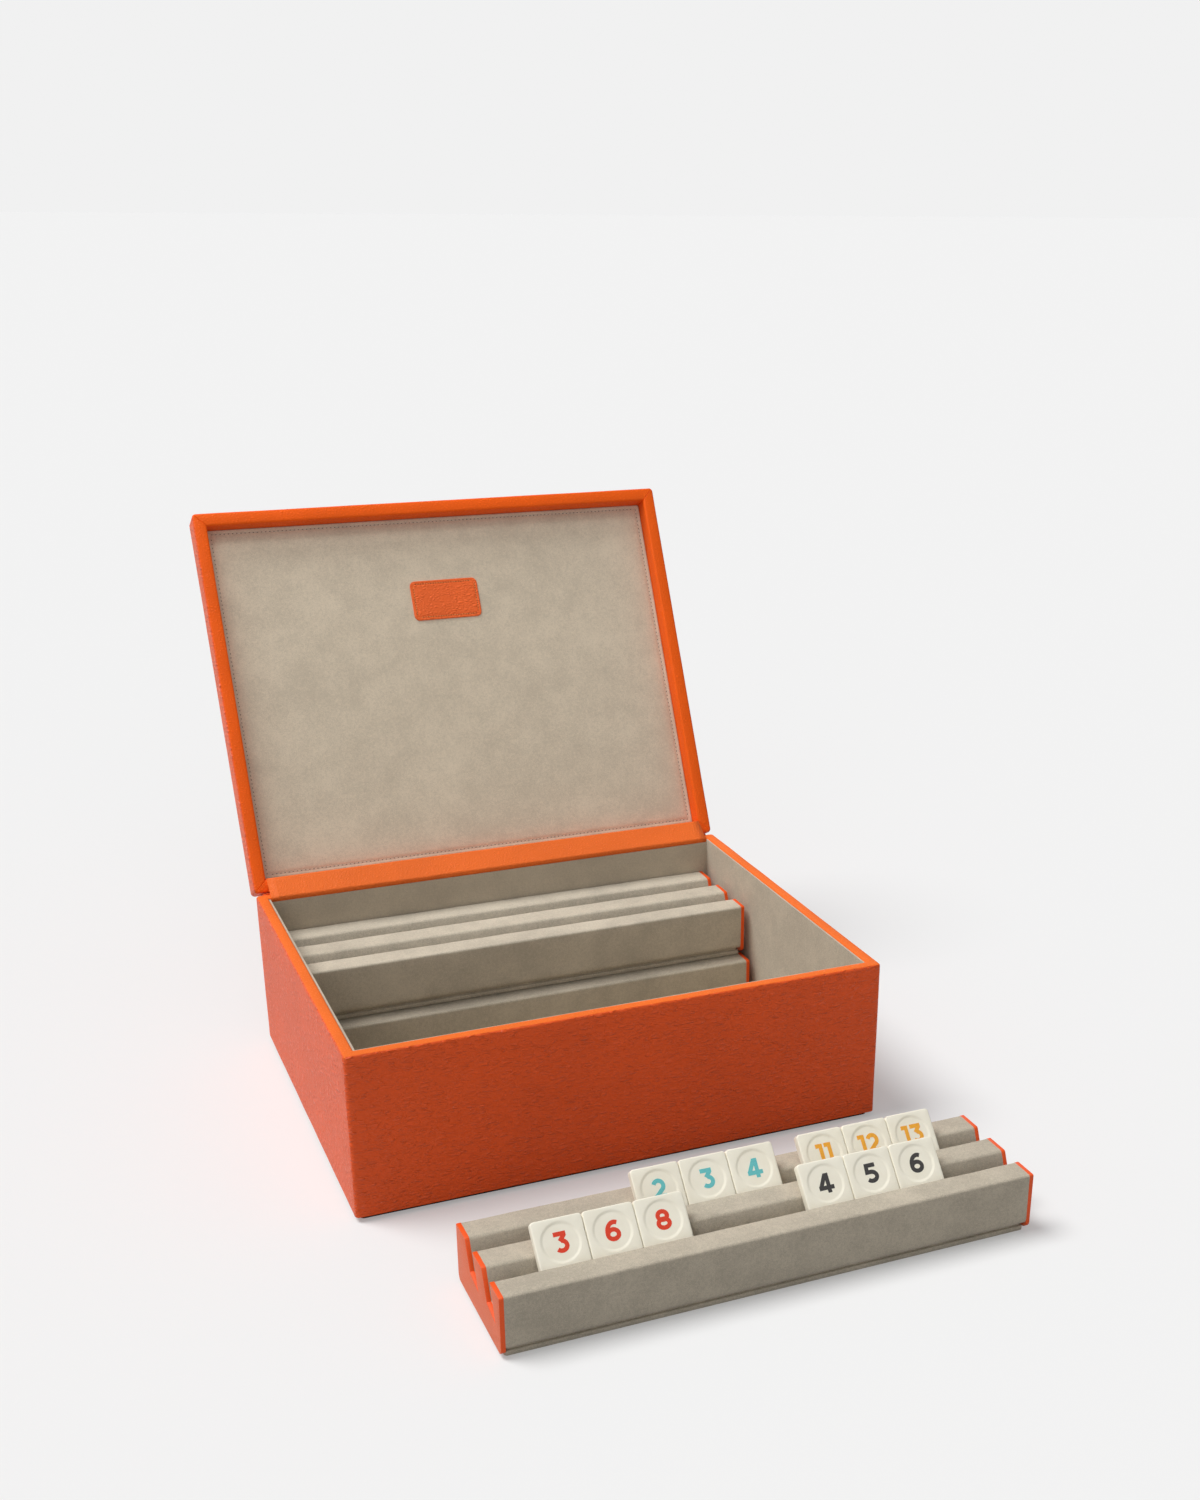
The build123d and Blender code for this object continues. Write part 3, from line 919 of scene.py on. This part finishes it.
# Each digit's width, and the middle lines of its strokes, in shares of its height.
DIGITS = {
    "1": (0.42, [[(-0.17, 0.9), (0.11, 0.9)], [(0.11, 1.0), (0.11, 0.0)]]),
    "2": (0.74, [arc(0.0, 0.64, 0.25, 0.26, 158, -38) + [(-0.24, 0.1)], [(-0.33, 0.1), (0.35, 0.1)]]),
    "3": (
        0.74,
        [
            [(-0.30, 0.9), (0.31, 0.9)],
            [(0.235, 0.86), (-0.045, 0.55)],
            arc(0.0, 0.335, 0.265, 0.235, 84, -142),
        ],
    ),
    "4": (
        0.84,
        [
            [(0.07, 0.955), (-0.31, 0.27)],
            [(-0.40, 0.27), (0.42, 0.27)],
            [(0.13, 1.0), (0.13, 0.0)],
        ],
    ),
    "5": (0.74, [[(0.28, 0.9), (-0.2, 0.9), (-0.23, 0.56)] + arc(-0.02, 0.33, 0.28, 0.23, 95, -142)]),
    "6": (0.76, [arc(0.0, 0.33, 0.27, 0.23, 0, 360), arc(0.12, 0.40, 0.39, 0.5, 192, 66)]),
    "8": (0.78, [arc(0.0, 0.69, 0.235, 0.205, 0, 360), arc(0.0, 0.315, 0.28, 0.215, 0, 360)]),
}


def stroke(points, width, low, high):
    """A solid stroke of constant width along a middle line, between two heights."""
    shape = bmesh.new()
    closed = (Vector(points[0]) - Vector(points[-1])).length < width / 100
    line = [Vector(point) for point in (points[:-1] if closed else points)]
    last = len(line) - 1
    sides = []
    for number, spot in enumerate(line):
        before = line[number - 1] if number or closed else spot
        after = line[(number + 1) % len(line)] if number < last or closed else spot
        into = (spot - before).normalized() if before != spot else (after - spot).normalized()
        out = (after - spot).normalized() if after != spot else into
        mitre_way = (into.orthogonal() + out.orthogonal()).normalized()
        reach = width / 2 / max(0.5, mitre_way.dot(out.orthogonal()))
        sides.append((spot + mitre_way * reach, spot - mitre_way * reach))
    rows = [[shape.verts.new((*side, low)) for side in pair] for pair in sides]
    pairs = list(zip(rows, rows[1:] + rows[:1])) if closed else list(zip(rows, rows[1:]))
    faces = [shape.faces.new((a[0], b[0], b[1], a[1])) for a, b in pairs]
    grown = bmesh.ops.extrude_face_region(shape, geom=faces, use_keep_orig=True)
    moved = [item for item in grown["geom"] if isinstance(item, bmesh.types.BMVert)]
    bmesh.ops.translate(shape, vec=(0, 0, high - low), verts=moved)
    bmesh.ops.recalc_face_normals(shape, faces=shape.faces)
    return shape


def as_object(name, shape):
    mesh = bpy.data.meshes.new(name)
    shape.to_mesh(mesh)
    shape.free()
    thing = bpy.data.objects.new(name, mesh)
    bpy.context.scene.collection.objects.link(thing)
    return thing


def joined(shapes):
    """One solid out of several overlapping ones."""
    things = [as_object(f"stroke_{number}", shape) for number, shape in enumerate(shapes)]
    first = things[0]
    for other in things[1:]:
        union = first.modifiers.new("union", "BOOLEAN")
        union.operation = "UNION"
        union.solver = "EXACT"
        union.object = other
    graph = bpy.context.evaluated_depsgraph_get()
    mesh = bpy.data.meshes.new_from_object(first.evaluated_get(graph))
    shape = bmesh.new()
    shape.from_mesh(mesh)
    for thing in things:
        bpy.data.objects.remove(thing)
    bmesh.ops.remove_doubles(shape, verts=shape.verts, dist=1e-6)
    return shape


def make_number(tile, text, colour, middle, floor, place):
    """The painted number in a tile's dish."""
    width = sum(DIGITS[digit][0] for digit in text) + NUMBER_GAP * (len(text) - 1)
    pen = -width / 2
    solids = []
    for digit in text:
        advance, strokes = DIGITS[digit]
        for line in strokes:
            points = []
            for x, y in line:
                across = middle.x + (pen + advance / 2 + x) * NUMBER_HEIGHT
                points.append((across, middle.y + (y - 0.5) * NUMBER_HEIGHT))
            stroke_width = NUMBER_STROKE * NUMBER_HEIGHT
            solids.append(stroke(points, stroke_width, floor - PAINT_ROOT, floor + PAINT))
        pen += advance + NUMBER_GAP
    finishes = [f"number_{colour}"]
    finished(f"{tile}_number", joined(solids), tile, finishes, place=place, crease=30)


def ring(shape, centre, radius, z, count=64):
    made = bmesh.ops.create_circle(shape, segments=count, radius=radius, cap_ends=False)
    bmesh.ops.translate(shape, vec=(centre.x, centre.y, z), verts=made["verts"])
    return list({edge for vertex in made["verts"] for edge in vertex.link_edges})


def make_tile(node, place):
    """An ivory tile with rounded edges and a round dish; returns the dish's centre and depth."""
    low, high = local_box(node, place)
    shape = block(low, high)
    rounded(shape, edges_along(shape, 2), TILE_CORNER, 6)
    rounded(shape, edges_round(facing(shape, 2, 1)), TILE_EDGE, 4)
    rounded(shape, edges_round(facing(shape, 2, -1)), TILE_EDGE, 3)
    front = max(facing(shape, 2, 1), key=lambda face: face.calc_area())
    border = list(front.edges)
    bmesh.ops.delete(shape, geom=[front], context="FACES_ONLY")
    centre = Vector(((low.x + high.x) / 2, high.y - DISH_FROM_TOP))
    slope = [(0.0, 0.0), (0.12, 0.03), (0.3, 0.22), (0.5, 0.5), (0.7, 0.78), (0.88, 0.97), (1.0, 1.0)]
    rings = []
    for run, fall in slope:
        radius = DISH_RADIUS - DISH_SLOPE * run
        rings.append(ring(shape, centre, radius, high.z - DISH_DEPTH * fall))
    bmesh.ops.triangle_fill(shape, edges=border + rings[0], use_beauty=True)
    for outer, inner in zip(rings, rings[1:]):
        bmesh.ops.bridge_loops(shape, edges=outer + inner)
    bmesh.ops.contextual_create(shape, geom=rings[-1])
    bmesh.ops.recalc_face_normals(shape, faces=shape.faces)
    finished(f"{node}_ivory", shape, node, ["ivory_plastic"], [node], place, crease=25)
    return centre, high.z - DISH_DEPTH


def make_tiles():
    """Each tile is made flat, and stands along its joint's axis."""
    for joint in frame["joints"]:
        node = joint["child"]
        if not node.startswith("tile_"):
            continue
        up = Vector(joint["axis"]).normalized()
        right = Vector((1, 0, 0))
        place = Matrix((right, up, right.cross(up))).transposed().to_4x4()
        centre, floor = make_tile(node, place)
        colour, text = node.split("_")[1:]
        make_number(node, text, colour, centre, floor, place)


# ------------------------------------------------------------------ CAD nodes that stay
def finish_nodes():
    """Give each CAD node that stays its material."""
    finish_of = {
        "suede": "case_suede",
        "board": "pressed_board",
        "base_cloth": "dark_book_cloth",
        "leather": "wall_leather",
    }
    for row in frame["record"]["subparts"]:
        node = frame["nodes"][row["node"]]
        finish = finish_of.get(row["material_slot"], "ivory_plastic")
        node.data.materials.clear()
        node.data.materials.append(FINISHES[finish])


# ------------------------------------------------------------------ floor, light and camera
PALE = 0.879  # how bright the backdrop and the open floor show
FLOOR_LIGHT = 1.04  # light on open floor, where a white floor would show as 1
FLOOR_GLOW = 0.3  # share of the floor's look that no shadow darkens
FLOOR_BOUNCE = 0.45  # what the floor throws back on to the case
FILL = 0.23  # light from all round


def looked_at(finish):
    """1 for the camera's own rays; and 1 for those that are seen, mirrored or not, 0 for light's."""
    rays = finish.tree.nodes.new("ShaderNodeLightPath")
    kinds = ("Camera", "Glossy", "Transmission")
    looking, mirrored, passed = (Value(finish, rays.outputs[f"Is {kind} Ray"]) for kind in kinds)
    return looking, looking + mirrored + passed


def floor_finish():
    """A pale floor that keeps a soft shadow and throws back less light than it shows."""
    finish = Finish("pale_floor")
    looking, any_look = looked_at(finish)
    shade = finish.mix(any_look, (FLOOR_BOUNCE,) * 3, (PALE / FLOOR_LIGHT,) * 3)
    matt = finish.node("ShaderNodeBsdfDiffuse", {"Color": shade})
    glow = finish.node("ShaderNodeEmission", {"Color": (PALE,) * 3, "Strength": 1.0})
    both = finish.node("ShaderNodeMixShader", {0: looking * FLOOR_GLOW, 1: matt, 2: glow})
    finish.tree.links.new(both.socket, finish.surface)
    return finish.material


def make_floor():
    shape = bmesh.new()
    bmesh.ops.create_grid(shape, x_segments=1, y_segments=1, size=40.0)
    mesh = bpy.data.meshes.new("floor")
    shape.to_mesh(mesh)
    shape.free()
    mesh.materials.append(floor_finish())
    floor = bpy.data.objects.new("floor", mesh)
    floor.location.z = -0.05 * MM
    bpy.context.scene.collection.objects.link(floor)


def sky_finish():
    """A weak light from all round, behind a plain pale backdrop."""
    world = bpy.data.worlds.new("studio")
    bpy.context.scene.world = world
    sky = Finish("studio", sky=world)
    fill = sky.node("ShaderNodeBackground", {"Color": (1, 1, 1), "Strength": FILL})
    shown = sky.node("ShaderNodeBackground", {"Color": (PALE,) * 3, "Strength": 1.0})
    both = sky.node("ShaderNodeMixShader", {0: looked_at(sky)[1], 1: fill, 2: shown})
    sky.tree.links.new(both.socket, sky.surface)


def make_light(name, kind, strength, away, spot=(0, 0, 0), only=None, **settings):
    """A lamp that shines against a direction, on everything or only on a collection's pieces."""
    lamp = bpy.data.lights.new(name, kind)
    lamp.energy = strength
    for setting, value in settings.items():
        setattr(lamp, setting, value)
    seat = bpy.data.objects.new(name, lamp)
    seat.rotation_mode = "QUATERNION"
    seat.rotation_quaternion = Vector(away).to_track_quat("Z", "Y")
    seat.location = spot
    bpy.context.scene.collection.objects.link(seat)
    if only:
        seat.light_linking.receiver_collection = only


CAMERA_SPOT = Vector((-317.7, -956.1, 519.0)) * MM
CAMERA_FORWARD = Vector((0.37138, 0.83994, -0.39570))
CAMERA_ROLL = radians(-0.61)


def make_camera():
    camera = bpy.data.cameras.new("camera")
    camera.lens = 42.337
    camera.sensor_width = 36.0
    camera.shift_x = -0.0742
    camera.shift_y = 0.1343
    camera.clip_start = 0.05
    camera.clip_end = 100.0
    seat = bpy.data.objects.new("camera", camera)
    seat.rotation_mode = "QUATERNION"
    level = CAMERA_FORWARD.to_track_quat("-Z", "Y").to_matrix()
    roll = Matrix.Rotation(CAMERA_ROLL, 3, CAMERA_FORWARD)
    seat.rotation_quaternion = (roll @ level).to_quaternion()
    seat.location = CAMERA_SPOT
    bpy.context.scene.collection.objects.link(seat)
    bpy.context.scene.camera = seat


# ------------------------------------------------------------------ the whole
finish_nodes()
make_case_cover()
make_lid_cover()
make_lining()
make_patch()
make_seam("lining", SEAM_INSET, SEAM_CORNER, SEAM_PITCH, SEAM_STITCH, "taupe_thread")
make_seam(
    "patch", PATCH_SEAM_INSET, PATCH_SEAM_CORNER, PATCH_SEAM_PITCH, PATCH_SEAM_STITCH, "orange_thread"
)
make_hinge_strip()
make_spine()
for rack in ("lower_rack", "upper_rack", "free_rack"):
    make_rack_suede(rack)
    make_rack_foot(rack)
    for side in ("left", "right"):
        make_rack_end(rack, side)
make_tiles()
make_floor()
sky_finish()
make_light("key_light", "SUN", 0.86 * pi, (-0.42, 0.2, 0.885), angle=radians(30))
make_light("front_light", "SUN", 0.16 * pi, (-0.3, -0.85, 0.43), angle=radians(60))
lid_pieces = bpy.data.collections.new("lid_pieces")
for piece in bpy.context.scene.objects:
    if piece.name.startswith(("lid_", "lining", "patch", "upper_rack_suede")):
        lid_pieces.objects.link(piece)
away = (-0.25, -0.18, 0.74)
make_light("lid_reflector", "AREA", 1.55, away, spot=(-0.25, 0.0, 0.95), only=lid_pieces, size=0.22)
make_camera()

bpy.context.scene.view_settings.view_transform = "Standard"
